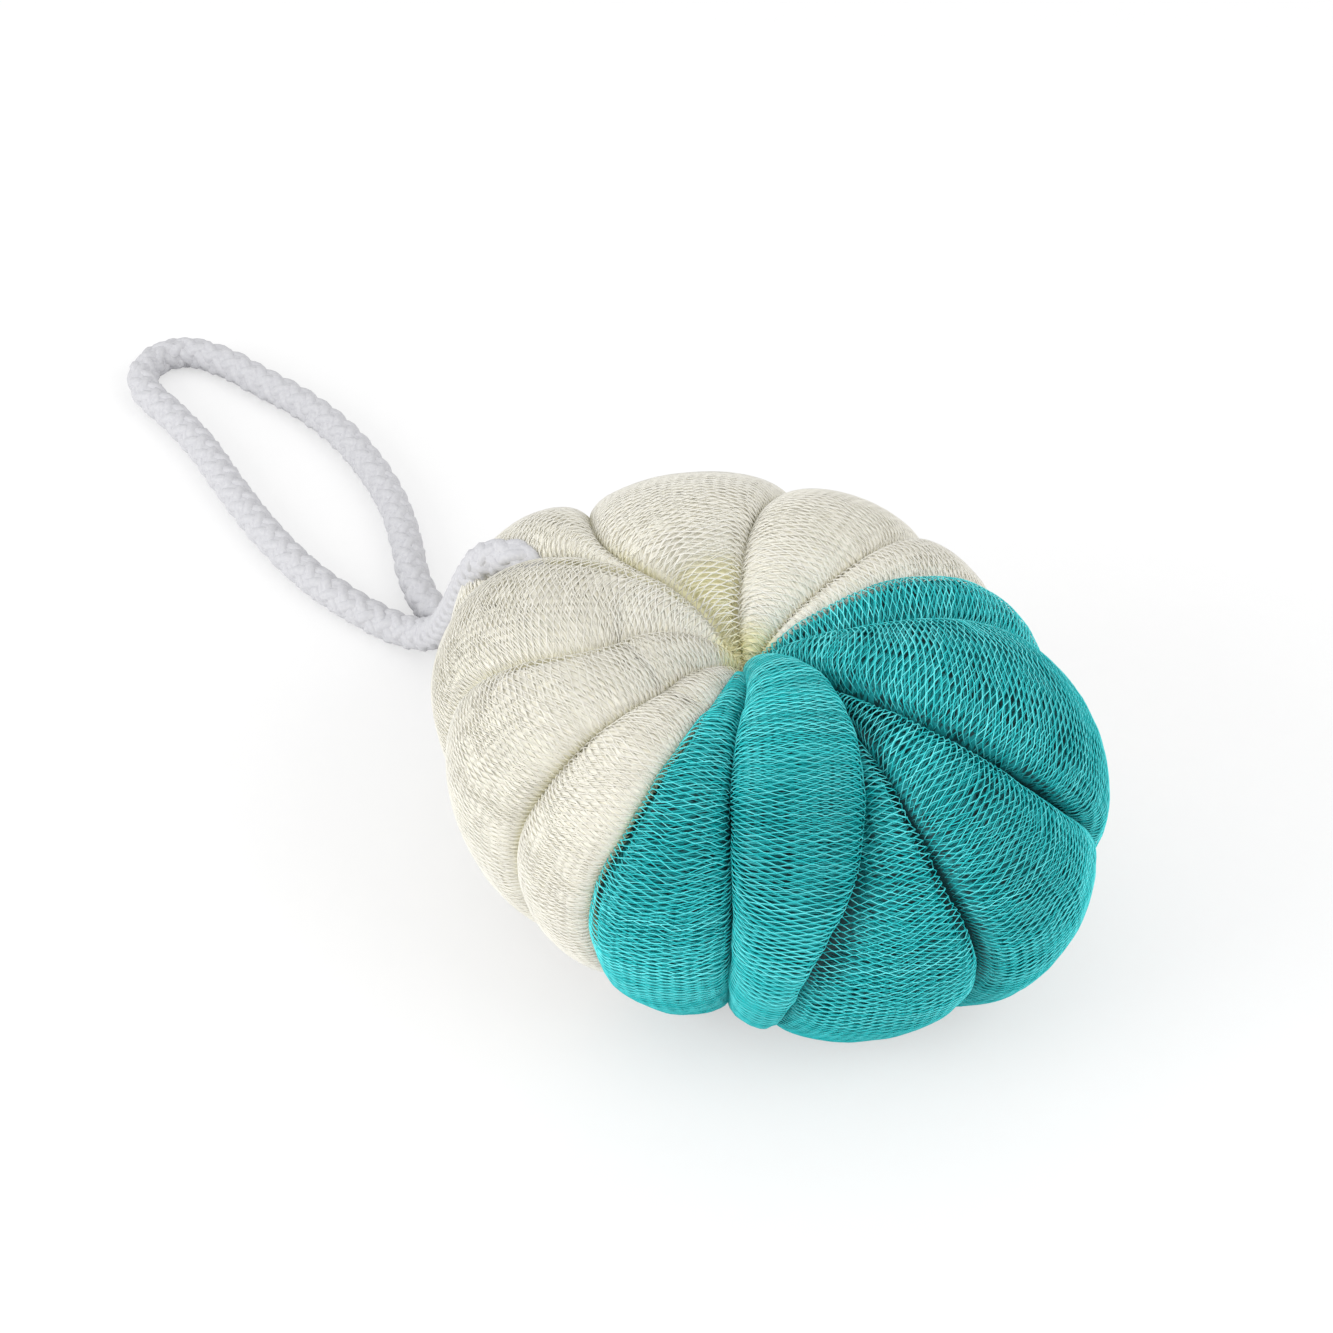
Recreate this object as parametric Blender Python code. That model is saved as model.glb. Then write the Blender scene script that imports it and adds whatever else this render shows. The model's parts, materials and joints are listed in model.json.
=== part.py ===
"""A shower puff: two tubes of knitted netting, one cream and one teal, folded to and fro and tied round
the waist so that they fan out in petals, with a braided rope loop to hang it by.

Metres, +Z up. The puff rests on Z = 0 with its tied axis upright, and the rope lies beside it.
"""

import math

import bmesh
import bpy
import numpy as np

# Driving dimensions, in metres

PUFF_RADIUS = 0.060
PUFF_HEIGHT = 0.070
LOBE_CENTRE_RADIUS = 0.024
HUB_RADIUS = 0.0025
DIMPLE_DEPTH = 0.0065
HUB_X = -0.0038
HUB_Y = -0.0028
RIM_X = 0.0002
RIM_Y = -0.0048
PETAL_RISE_TOP = 0.0125
PETAL_RISE_RIM = 0.0095
PETAL_RISE_HALF_WIDTH = 0.0065
CREASE_DEPTH_TOP = 0.0085
CREASE_DEPTH_RIM = 0.0062
FLAT_SPOT_DEPTH = 0.0030
SEAM_CLEARANCE = 0.00035
TIE_CORE_RADIUS = 0.006
TIE_CORD_DIAMETER = 0.0024
TIE_TURNS = 3
TIE_CLEARANCE = 0.0003
ROPE_DIAMETER = 0.007
ROPE_CLEARANCE = 0.0003

# How finely the surfaces are divided

MERIDIAN_ROWS = 34
TIE_SEGMENTS = 36
TIE_TURN_POINTS = 5
TIE_TURN_ARC = math.radians(60)
ROPE_POINTS = 78
ROPE_SIDES_RESOLUTION = 3
ROUTE_SAMPLES = 1600
NORMAL_STEP = 1e-4
WELD_DISTANCE = 1e-6

# The petals in order, anticlockwise from above. Each row gives the azimuth in degrees of the crease on
# the petal's clockwise side, at the shares of the way from the top hub to the bottom hub named here.

CREASE_PLACES = (0.0, 0.1, 0.2, 0.3, 0.4, 0.5, 0.65, 1.0)

# Name, crease azimuths, how far the crease reaches past the puff's radius and how far its rim is lifted,
# both in metres, fullness, lean towards the next petal, steepness of the sides, and columns of faces

CREAM_PETALS = (
    ("right_back", (24, 24.5, 26.5, 28, 28, 26.5, 25, 24), -0.0055, 0.0004, 1.05, 0.3, 0.3, 8),
    ("back_right", (44, 41.5, 44.5, 49, 51, 52, 52.5, 53), -0.0024, 0.0000, 0.96, 0.1, 0.4, 9),
    ("back", (100, 93, 87.5, 83, 81, 80, 81.5, 84), 0.0002, 0.0015, 0.96, 0.0, 0.5, 10),
    ("behind_rope", (128, 134, 138, 128, 121, 119, 118, 117), 0.0092, 0.0000, 1.38, 0.45, 0.0, 8),
    ("left", (138, 140, 145, 147.5, 149.5, 151.5, 152, 152), 0.0066, 0.0000, 0.96, 0.0, 0.2, 10),
    ("left_front", (165, 184.5, 197, 191.5, 184.5, 180.5, 179, 180), -0.0026, 0.0078, 1.04, 0.0, 0.2, 10),
    ("front_cream", (225, 227.5, 229, 224.5, 219.5, 214.5, 211, 210), -0.0057, 0.0088, 0.88, -0.3, 0.1, 8),
)
TEAL_PETALS = (
    ("front_left", (252, 253, 249.5, 245.5, 241, 236, 233.5, 236), -0.0040, 0.0100, 0.95, -0.45, 0.2, 9),
    ("front_spindle", (271, 270, 265.5, 263.5, 264, 264.3, 263.8, 264.5), -0.0075, 0.0060, 1.24, 0.0, 0.9, 10),
    ("front_right", (318, 312, 302, 294, 286.5, 278.5, 274, 274), -0.0043, 0.0010, 0.88, 0.4, 0.0, 9),
    ("right_front", (320, 314, 304.5, 302, 303, 307, 311, 311), 0.0025, 0.0010, 1.14, -0.35, 0.0, 9),
    ("right_wide", (322, 315.5, 317, 324, 331.5, 341, 347, 349), 0.0029, 0.0030, 1.13, -0.5, 0.45, 10),
    ("tucked", (352, 358.5, 364, 368.5, 371, 372, 372, 371.5), -0.0045, 0.0036, 1.12, 0.3, 0.0, 6),
)

# The rope's middle line in millimetres, from one end at the tie, over the edge of the puff, round the
# loop on the table and back under the puff to the tie.

ROPE_ROUTE_MM = (
    (-11.6, 3.8, 40.5), (-17.0, 7.4, 42.6), (-24.2, 12.1, 47.1), (-31.6, 16.8, 52.5),
    (-38.8, 20.9, 57.2), (-45.0, 23.6, 59.5), (-49.8, 27.4, 56.4), (-53.2, 34.1, 47.6),
    (-56.2, 43.0, 35.1), (-59.3, 52.1, 22.6), (-62.8, 60.8, 11.8), (-67.2, 67.0, 5.8),
    (-72.8, 71.8, 3.8), (-80.0, 77.6, 3.6), (-90.0, 87.6, 3.6), (-100.0, 101.4, 3.6),
    (-108.8, 116.8, 3.6), (-117.4, 133.2, 3.6), (-125.0, 144.6, 3.6), (-130.8, 152.6, 3.6),
    (-132.4, 159.4, 3.6), (-129.6, 165.2, 3.6), (-123.6, 167.6, 3.6), (-116.8, 164.8, 3.6),
    (-106.6, 156.6, 3.6), (-95.8, 147.2, 3.6), (-86.8, 136.2, 3.6), (-79.4, 123.2, 3.6),
    (-74.4, 110.8, 3.6), (-71.4, 98.8, 3.6), (-69.4, 88.2, 3.6), (-66.2, 79.2, 3.6),
    (-61.0, 71.8, 3.6), (-54.8, 64.4, 3.6), (-48.2, 56.2, 3.8), (-42.0, 48.0, 5.4),
    (-36.0, 39.6, 9.0), (-29.6, 30.8, 14.6), (-22.7, 21.5, 21.5), (-10.6, 4.8, 31.0),
)

MM = 0.001


def clear_scene():
    for leftover in list(bpy.data.objects):
        bpy.data.objects.remove(leftover, do_unlink=True)


def make_material(name, colour, roughness):
    material = bpy.data.materials.new(name)
    material.use_nodes = True
    shader = material.node_tree.nodes["Principled BSDF"]
    shader.inputs["Base Color"].default_value = (*colour, 1.0)
    shader.inputs["Roughness"].default_value = roughness
    shader.inputs["Metallic"].default_value = 0.0
    return material


def make_object(name, vertices, faces, material):
    """A closed mesh object whose faces are turned outwards."""
    mesh = bpy.data.meshes.new(name)
    shape = bmesh.new()
    points = [shape.verts.new(v) for v in vertices]
    for face in faces:
        shape.faces.new([points[i] for i in face])
    bmesh.ops.recalc_face_normals(shape, faces=shape.faces)
    shape.to_mesh(mesh)
    shape.free()
    mesh.shade_smooth()
    mesh.materials.append(material)
    piece = bpy.data.objects.new(name, mesh)
    bpy.context.scene.collection.objects.link(piece)
    return piece


def as_cutter(piece):
    piece.hide_render = True
    piece.display_type = "WIRE"
    return piece


def cut(piece, cutter):
    boolean = piece.modifiers.new("cut_" + cutter.name, "BOOLEAN")
    boolean.operation = "DIFFERENCE"
    boolean.solver = "EXACT"
    boolean.object = cutter


def smooth_curve(places, values, wanted):
    """Reads a smooth curve through values, one row to a place, at the wanted places."""
    places = np.asarray(places, float)
    values = np.asarray(values, float).reshape(len(places), -1)
    slopes = np.gradient(values, places, axis=0)
    span = np.clip(np.searchsorted(places, wanted, side="right") - 1, 0, len(places) - 2)
    width = (places[span + 1] - places[span])[:, None]
    share = (np.asarray(wanted)[:, None] - places[span][:, None]) / width
    start = (1 + 2 * share) * (1 - share) ** 2 * values[span]
    start += share * (1 - share) ** 2 * width * slopes[span]
    end = share**2 * (3 - 2 * share) * values[span + 1]
    end += share**2 * (share - 1) * width * slopes[span + 1]
    return start + end


# The creased core that the petals stand on is a ring with an oval section, open at the hub


def crease_section(place, reach, lift):
    """Radius and height on the crease line, at a share of the way from the top hub to the bottom hub."""
    middle = PUFF_HEIGHT / 2 - FLAT_SPOT_DEPTH / 2
    half_height = PUFF_HEIGHT / 2 + FLAT_SPOT_DEPTH / 2 - CREASE_DEPTH_TOP
    hub_angle = math.pi - math.asin(1 - DIMPLE_DEPTH / half_height)
    outer = PUFF_RADIUS + reach - CREASE_DEPTH_RIM - LOBE_CENTRE_RADIUS
    inner = (LOBE_CENTRE_RADIUS - HUB_RADIUS) / -math.cos(hub_angle)
    angle = hub_angle * (1 - 2 * place)
    across = np.cos(angle)
    radius = LOBE_CENTRE_RADIUS + np.where(across > 0, outer, inner) * across
    return radius, middle + half_height * np.sin(angle) + lift * np.maximum(across, 0)


def outward_normal(place, reach, lift):
    r_before, z_before = crease_section(place - NORMAL_STEP, reach, lift)
    r_after, z_after = crease_section(place + NORMAL_STEP, reach, lift)
    along = np.hypot(r_after - r_before, z_after - z_before)
    return -(z_after - z_before) / along, (r_after - r_before) / along


def ring_centre(radius):
    """The middle of the ring of this radius, which goes from the hub's place to the rim's."""
    share = np.clip((radius / PUFF_RADIUS) ** 2, 0, 1)
    return HUB_X + (RIM_X - HUB_X) * share, HUB_Y + (RIM_Y - HUB_Y) * share


def petal_columns(petal, start, end, next_petal, with_last):
    """Columns of points across one petal, from its crease at start to its crease at end."""
    _, _, reach, lift, fullness, lean, steepness, columns = petal
    next_reach, next_lift = next_petal[2:4]
    place = np.linspace(0, 1, MERIDIAN_ROWS + 1)
    found = []
    for step in range(columns + with_last):
        turn = math.pi * step / columns
        even = (1 - math.cos(turn)) / 2
        across = even + even * (1 - even) * (lean + steepness * (2 * even - 1))
        reach_here = reach + (next_reach - reach) * even
        lift_here = lift + (next_lift - lift) * even
        radius, height = crease_section(place, reach_here, lift_here)
        normal_r, normal_z = outward_normal(place, reach_here, lift_here)
        half_width = radius * (end - start) / 2
        rise = PETAL_RISE_TOP * normal_z**2 + PETAL_RISE_RIM * normal_r**2
        rise = fullness * rise * half_width / (half_width + PETAL_RISE_HALF_WIDTH) * math.sin(turn)
        r = radius + rise * normal_r
        z = np.maximum(height + rise * normal_z, 0)
        azimuth = start + across * (end - start)
        centre_x, centre_y = ring_centre(r)
        x = centre_x + r * np.cos(azimuth)
        y = centre_y + r * np.sin(azimuth)
        found.append(np.stack([x, y, z], 1))
    return found


def crease_azimuths(petal):
    place = np.linspace(0, 1, MERIDIAN_ROWS + 1)
    return np.radians(smooth_curve(CREASE_PLACES, petal[1], place)[:, 0])


def make_netting(name, petals, next_petal, turn, material):
    """One folded tube of netting: its petals in a row, closed by a side where the next petal begins."""
    petals = petals + (next_petal,)
    creases = [crease_azimuths(petal) for petal in petals[:-1]] + [crease_azimuths(next_petal) + turn]
    radius, height = crease_section(np.linspace(0, 1, MERIDIAN_ROWS + 1), 0.0, 0.0)
    creases[0] = creases[0] + SEAM_CLEARANCE / 2 / radius
    creases[-1] = creases[-1] - SEAM_CLEARANCE / 2 / radius
    columns = []
    for index, petal in enumerate(petals[:-1]):
        is_last = index == len(petals) - 2
        columns += petal_columns(petal, creases[index], creases[index + 1], petals[index + 1], is_last)
    middle = (creases[0][0] + creases[-1][0]) / 2
    core_x = HUB_X + HUB_RADIUS / 2 * math.cos(middle)
    core_y = HUB_Y + HUB_RADIUS / 2 * math.sin(middle)
    core_z = np.linspace(height[0], height[-1], MERIDIAN_ROWS + 1)
    core = np.stack([np.full_like(core_z, core_x), np.full_like(core_z, core_y), core_z], 1)
    rows = MERIDIAN_ROWS + 1
    vertices = [tuple(point) for column in columns + [core] for point in column]
    at = len(columns) * rows
    faces = []
    for column in range(len(columns) - 1):
        here = column * rows
        for row in range(MERIDIAN_ROWS):
            faces.append((here + row, here + row + 1, here + rows + row + 1, here + rows + row))
        faces.append((at, here, here + rows))
        faces.append((at + rows - 1, here + rows + rows - 1, here + rows - 1))
    for column in (0, len(columns) - 1):
        here = column * rows
        for row in range(MERIDIAN_ROWS):
            side = (here + row, here + row + 1, at + row + 1, at + row)
            faces.append(side if column else side[::-1])
    return make_object(name, vertices, faces, material)


def make_turned_ring(name, section, material):
    """A closed section of (radius, height) points turned about the hub's axis."""
    vertices = []
    faces = []
    count = len(section)
    for segment in range(TIE_SEGMENTS):
        angle = 2 * math.pi * segment / TIE_SEGMENTS
        for radius, height in section:
            x = HUB_X + radius * math.cos(angle)
            y = HUB_Y + radius * math.sin(angle)
            vertices.append((x, y, height))
        here = segment * count
        there = (segment + 1) % TIE_SEGMENTS * count
        for point in range(count):
            after = (point + 1) % count
            faces.append((here + point, here + after, there + after, there + point))
    return make_object(name, vertices, faces, material)


def tie_middle():
    top = crease_section(0.0, 0.0, 0.0)[1]
    bottom = crease_section(1.0, 0.0, 0.0)[1]
    return float(top + bottom) / 2


def make_waist_tie(material):
    """Turns of cord pulled tight round the pinched middle, side by side."""
    cord = TIE_CORD_DIAMETER / 2
    radius = TIE_CORE_RADIUS + TIE_CLEARANCE + cord
    arc = [TIE_TURN_ARC * (2 * k / (TIE_TURN_POINTS - 1) - 1) for k in range(TIE_TURN_POINTS)]
    pitch = TIE_CORD_DIAMETER * math.sin(TIE_TURN_ARC)
    outer = []
    inner = []
    for turn in range(TIE_TURNS):
        middle = tie_middle() + (turn - (TIE_TURNS - 1) / 2) * pitch
        skip = 1 if turn else 0
        for angle in arc[skip:]:
            outer.append((radius + cord * math.cos(angle), middle + cord * math.sin(angle)))
            inner.append((radius - cord * math.cos(angle), middle + cord * math.sin(angle)))
    return make_turned_ring("waist_tie", outer + inner[::-1], material)


def make_tie_channel(material):
    """The room that the tie takes up inside the netting."""
    half_height = TIE_CORD_DIAMETER * TIE_TURNS / 2 + TIE_CLEARANCE
    near = TIE_CORE_RADIUS
    far = TIE_CORE_RADIUS + 2 * TIE_CLEARANCE + TIE_CORD_DIAMETER
    low = tie_middle() - half_height
    high = tie_middle() + half_height
    section = [(near, low), (far, low), (far, high), (near, high)]
    return as_cutter(make_turned_ring("tie_channel", section, material))


def rope_points():
    """Evenly spaced points on a smooth curve through the rope's route."""
    route = np.array(ROPE_ROUTE_MM) * MM
    reach = np.concatenate([[0], np.cumsum(np.linalg.norm(np.diff(route, axis=0), axis=1))])
    fine = smooth_curve(reach, route, np.linspace(0, reach[-1], ROUTE_SAMPLES))
    length = np.concatenate([[0], np.cumsum(np.linalg.norm(np.diff(fine, axis=0), axis=1))])
    wanted = np.linspace(0, length[-1], ROPE_POINTS)
    return np.stack([np.interp(wanted, length, fine[:, k]) for k in range(3)], 1)


def make_rope_tube(name, diameter, material):
    curve = bpy.data.curves.new(name, "CURVE")
    curve.dimensions = "3D"
    curve.bevel_depth = diameter / 2
    curve.bevel_resolution = ROPE_SIDES_RESOLUTION
    curve.use_fill_caps = True
    spline = curve.splines.new("POLY")
    points = rope_points()
    spline.points.add(len(points) - 1)
    for point, place in zip(spline.points, points):
        point.co = (*place, 1.0)
    spline.use_smooth = True
    curve.materials.append(material)
    tube = bpy.data.objects.new(name, curve)
    bpy.context.scene.collection.objects.link(tube)
    return tube


def make_rope_channel(material):
    """The room that the rope takes up inside the netting, as a mesh."""
    tube = make_rope_tube("rope_channel_line", ROPE_DIAMETER + 2 * ROPE_CLEARANCE, material)
    graph = bpy.context.evaluated_depsgraph_get()
    mesh = bpy.data.meshes.new_from_object(tube.evaluated_get(graph))
    bpy.data.objects.remove(tube, do_unlink=True)
    shape = bmesh.new()
    shape.from_mesh(mesh)
    bmesh.ops.remove_doubles(shape, verts=shape.verts, dist=WELD_DISTANCE)
    bmesh.ops.recalc_face_normals(shape, faces=shape.faces)
    shape.to_mesh(mesh)
    shape.free()
    channel = bpy.data.objects.new("rope_channel", mesh)
    bpy.context.scene.collection.objects.link(channel)
    return as_cutter(channel)


def main():
    clear_scene()
    cream = make_material("cream_net", (0.80, 0.77, 0.66), 0.45)
    teal = make_material("teal_net", (0.03, 0.47, 0.45), 0.40)
    white_cord = make_material("white_cord", (0.80, 0.81, 0.85), 0.60)
    cream_tube = make_netting("cream_netting", CREAM_PETALS, TEAL_PETALS[0], 0, cream)
    teal_tube = make_netting("teal_netting", TEAL_PETALS, CREAM_PETALS[0], 2 * math.pi, teal)
    make_waist_tie(white_cord)
    make_rope_tube("hanging_rope", ROPE_DIAMETER, white_cord)
    tie_channel = make_tie_channel(white_cord)
    cut(cream_tube, tie_channel)
    cut(teal_tube, tie_channel)
    cut(cream_tube, make_rope_channel(white_cord))


main()
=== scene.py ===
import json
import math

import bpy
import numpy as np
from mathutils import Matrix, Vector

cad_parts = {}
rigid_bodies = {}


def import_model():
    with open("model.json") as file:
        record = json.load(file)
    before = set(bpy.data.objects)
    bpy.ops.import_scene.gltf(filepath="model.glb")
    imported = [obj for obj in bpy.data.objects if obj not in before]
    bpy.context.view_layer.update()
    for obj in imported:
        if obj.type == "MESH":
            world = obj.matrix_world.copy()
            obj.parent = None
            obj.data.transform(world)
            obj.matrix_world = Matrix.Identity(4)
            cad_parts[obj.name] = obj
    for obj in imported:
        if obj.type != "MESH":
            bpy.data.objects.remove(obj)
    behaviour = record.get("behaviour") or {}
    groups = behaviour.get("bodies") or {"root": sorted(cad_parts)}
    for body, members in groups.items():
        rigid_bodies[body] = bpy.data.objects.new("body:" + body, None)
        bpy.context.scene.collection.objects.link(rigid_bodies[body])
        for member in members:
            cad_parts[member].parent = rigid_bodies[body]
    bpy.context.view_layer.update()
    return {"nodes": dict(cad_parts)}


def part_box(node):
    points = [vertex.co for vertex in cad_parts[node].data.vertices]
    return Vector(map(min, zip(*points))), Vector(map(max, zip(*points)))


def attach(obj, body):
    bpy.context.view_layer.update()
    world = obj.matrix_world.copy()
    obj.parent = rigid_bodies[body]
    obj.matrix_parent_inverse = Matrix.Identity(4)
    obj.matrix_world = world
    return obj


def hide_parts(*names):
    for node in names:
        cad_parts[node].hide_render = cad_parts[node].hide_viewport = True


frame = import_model()

# %% [markdown]
# # A netting bath puff, strand by strand
# The object is a bath puff: two long tubes of extruded plastic netting, one cream and one teal, folded to
# and fro and tied round the waist, so that the folds stand up as petals. A braided rope goes through the
# tie and makes a loop to hang it by. The plain solids of the frame give the size and the place of
# everything. The lesson dresses them: first the camera and the light, then the petals, the net on them,
# and at last the rope.

MM = 0.001
puff_low = np.minimum(*[np.array(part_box(name)[0]) for name in ("cream_netting", "teal_netting")])
puff_high = np.maximum(*[np.array(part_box(name)[1]) for name in ("cream_netting", "teal_netting")])
print("puff in mm, low and high corner:", (puff_low / MM).round(1), (puff_high / MM).round(1))

# %% [markdown]
# ## The camera
# The photograph looks down on the puff from about forty degrees above the table, with a long lens, so
# lines that are parallel stay nearly parallel. The camera is placed by working back from a point in the
# middle of the puff. The picture isn't centred on the puff, because the rope's loop needs room on the
# left, so the aim is moved along the camera's own right and up directions.

# %% Camera
ELEVATION = math.radians(40)
DISTANCE = 0.666
PIXELS_PER_METRE = 5560
PUFF_MIDDLE = Vector((0.0002, -0.0048, 0.0354))
PUFF_MIDDLE_PIXEL = (766, 761)
PICTURE_MIDDLE_PIXEL = 666.5

forward = Vector((0, math.cos(ELEVATION), -math.sin(ELEVATION)))
picture_up = Vector((0, math.sin(ELEVATION), math.cos(ELEVATION)))
picture_right = Vector((1, 0, 0))
aim = PUFF_MIDDLE + picture_right * (PICTURE_MIDDLE_PIXEL - PUFF_MIDDLE_PIXEL[0]) / PIXELS_PER_METRE
aim += picture_up * (PUFF_MIDDLE_PIXEL[1] - PICTURE_MIDDLE_PIXEL) / PIXELS_PER_METRE
lens = bpy.data.cameras.new("camera")
lens.sensor_width = 36
lens.lens = 36 * DISTANCE * PIXELS_PER_METRE / (2 * PICTURE_MIDDLE_PIXEL)
lens.clip_start = 0.01
camera = bpy.data.objects.new("camera", lens)
camera.location = aim - forward * DISTANCE
camera.rotation_euler = forward.to_track_quat("-Z", "Y").to_euler()
bpy.context.scene.collection.objects.link(camera)
bpy.context.scene.camera = camera
print("camera at", [round(v, 3) for v in camera.location], "lens", round(lens.lens, 1), "mm")

# %% [markdown]
# ## Sums of sockets
# A finish or a shape made of nodes needs many small sums. Written out as nodes and links they are hard to
# read, so one small class stands for a node's output. Adding or multiplying two of them adds the Math node
# that does it, and any other node comes from one method. The same class serves the node trees of
# materials and of geometry, because both have the same Math nodes.

# %% One class for both kinds of node tree


class Wire:
    """An output of a node. Sums of wires add the nodes that work them out."""

    def __init__(self, tree, socket=None):
        self.tree = tree
        self.socket = socket

    def feed(self, socket, value):
        if isinstance(value, Wire):
            self.tree.links.new(value.socket, socket)
        else:
            socket.default_value = value

    def node(self, kind, settings=None, inputs=None, output=0):
        """Any node: its type, settings, the values or wires of its inputs, and the output to go on from."""
        made = self.tree.nodes.new(kind)
        for name, value in (settings or {}).items():
            setattr(made, name, value)
        for name, value in (inputs or {}).items():
            self.feed(made.inputs[name], value)
        return Wire(self.tree, made.outputs[output])

    def maths(self, operation, *values):
        return self.node("ShaderNodeMath", {"operation": operation}, dict(enumerate(values)))

    def __add__(self, other):
        return self.maths("ADD", self, other)

    def __radd__(self, other):
        return self.maths("ADD", other, self)

    def __sub__(self, other):
        return self.maths("SUBTRACT", self, other)

    def __rsub__(self, other):
        return self.maths("SUBTRACT", other, self)

    def __mul__(self, other):
        return self.maths("MULTIPLY", self, other)

    def __rmul__(self, other):
        return self.maths("MULTIPLY", other, self)

    def __truediv__(self, other):
        return self.maths("DIVIDE", self, other)

    def vector(self, operation, *values, output=0):
        return self.node("ShaderNodeVectorMath", {"operation": operation}, dict(enumerate(values)), output)

    def scaled(self, factor):
        return self.node("ShaderNodeVectorMath", {"operation": "SCALE"}, {0: self, "Scale": factor})

    def part(self, axis):
        """One of a vector's three numbers."""
        return self.node("ShaderNodeSeparateXYZ", None, {0: self}, axis)

    def joined(self, x, y, z=0.0):
        """A vector from three numbers."""
        return self.node("ShaderNodeCombineXYZ", None, {0: x, 1: y, 2: z})

    def own_place(self):
        """The place on the piece itself, in metres from the frame's origin."""
        return self.node("ShaderNodeTexCoord", output="Object")

    def own_value(self, name, output="Fac"):
        """A number that the mesh keeps for each point, or a vector from the output Vector."""
        return self.node("ShaderNodeAttribute", {"attribute_name": name}, output=output)

    def bump(self, height, strength, distance):
        """A normal that makes heights catch the light, for detail too fine to model."""
        inputs = {"Height": height, "Strength": strength, "Distance": distance}
        return self.node("ShaderNodeBump", None, inputs)

    def noise(self, place, scale, detail=2.0):
        """Soft random values from 0 to 1 that change over 1 / scale."""
        return self.node("ShaderNodeTexNoise", None, {"Vector": place, "Scale": scale, "Detail": detail})

    def between(self, factor, low, high):
        """The colour between two colours."""
        blend = self.tree.nodes.new("ShaderNodeMix")
        blend.data_type = "RGBA"
        sockets = [socket for socket in blend.inputs if socket.type == "RGBA"]
        self.feed(blend.inputs[0], factor)
        self.feed(sockets[0], low)
        self.feed(sockets[1], high)
        return Wire(self.tree, [socket for socket in blend.outputs if socket.type == "RGBA"][0])

    def band(self, value, low, high):
        """0 where the value is below low, 1 above high, and smooth in between."""
        inputs = {"Value": value, "From Min": low, "From Max": high}
        return self.node("ShaderNodeMapRange", {"interpolation_type": "SMOOTHSTEP"}, inputs)


def new_finish(name):
    """A material and a wire to draw in it with, and its shader."""
    finish = bpy.data.materials.new(name)
    finish.use_nodes = True
    return finish, Wire(finish.node_tree), finish.node_tree.nodes["Principled BSDF"]


print("helper methods:", sum(callable(value) for value in vars(Wire).values()))

# %% [markdown]
# ## The table and the light
# The photograph was lit from all sides on white. A pale table keeps a soft shadow under the puff. The sky
# is plain and gives most of the light, and two large soft lamps add a side that is brighter, so that the
# petals look round. The camera sees the sky as white, which adds no light to the object.

# %% Table, sky and lamps
TABLE_SIZE = 6.0
TABLE_GREYS = ((0.90, 0.90, 0.90, 1), (0.93, 0.93, 0.93, 1))
TABLE_GRAIN = 180.0
TABLE_WHITE = 0.55
SKY_LIGHT = 0.86
LAMP_SIZE = 0.7

table_mesh = bpy.data.meshes.new("table")
half = TABLE_SIZE / 2
corners = [(-half, -half, 0), (half, -half, 0), (half, half, 0), (-half, half, 0)]
table_mesh.from_pydata(corners, [], [(0, 1, 2, 3)])
table = bpy.data.objects.new("table", table_mesh)
bpy.context.scene.collection.objects.link(table)
table_finish, draw, shader = new_finish("table_paper")
grain = draw.noise(draw.own_place(), TABLE_GRAIN)
draw.feed(shader.inputs["Base Color"], draw.between(grain, *TABLE_GREYS))
shader.inputs["Roughness"].default_value = 0.9
seen = draw.node("ShaderNodeLightPath", output="Is Camera Ray")
white = draw.node("ShaderNodeEmission", None, {"Strength": 1.0})
lit = Wire(draw.tree, shader.outputs["BSDF"])
paper = draw.node("ShaderNodeMixShader", None, {0: seen * TABLE_WHITE, 1: lit, 2: white})
draw.feed(table_finish.node_tree.nodes["Material Output"].inputs["Surface"], paper)
table_mesh.materials.append(table_finish)

sky = bpy.data.worlds.new("studio_sky")
bpy.context.scene.world = sky
sky.use_nodes = True
draw = Wire(sky.node_tree)
seen = draw.node("ShaderNodeLightPath", output="Is Camera Ray")
for ray in ("Is Glossy Ray", "Is Transmission Ray"):
    seen = draw.maths("MAXIMUM", seen, draw.node("ShaderNodeLightPath", output=ray))
background = sky.node_tree.nodes["Background"]
draw.feed(background.inputs["Strength"], SKY_LIGHT + (1 - SKY_LIGHT) * seen)
background.inputs["Color"].default_value = (1, 1, 1, 1)


def soft_lamp(name, place, power):
    light = bpy.data.lights.new(name, "AREA")
    light.energy = power
    light.size = LAMP_SIZE
    lamp = bpy.data.objects.new(name, light)
    lamp.location = place
    lamp.rotation_euler = (PUFF_MIDDLE - Vector(place)).to_track_quat("-Z", "Y").to_euler()
    bpy.context.scene.collection.objects.link(lamp)


soft_lamp("key_lamp", (-0.90, -0.42, 0.45), 5.6)
soft_lamp("right_lamp", (0.72, -0.42, 0.80), 3.8)
bpy.context.scene.view_settings.view_transform = "Standard"
print("sky", SKY_LIGHT, "and 2 lamps")

# %% [markdown]
# ## The petals
# Each petal is a fold of the netting, pinched at the hub above, wide at the rim and pinched again at the
# hub below. A petal stands between two creases. The creases lie on a ring with an oval section, and the
# petal rises from it as half an ellipse. The same rule made the plain solids, so both agree. Each row
# names a petal and gives its crease's azimuth in degrees at a few places from the top hub to the bottom
# hub, how far in metres its crease reaches out and is lifted, how full the petal is, which way it leans
# and how steep its sides are.

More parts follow.
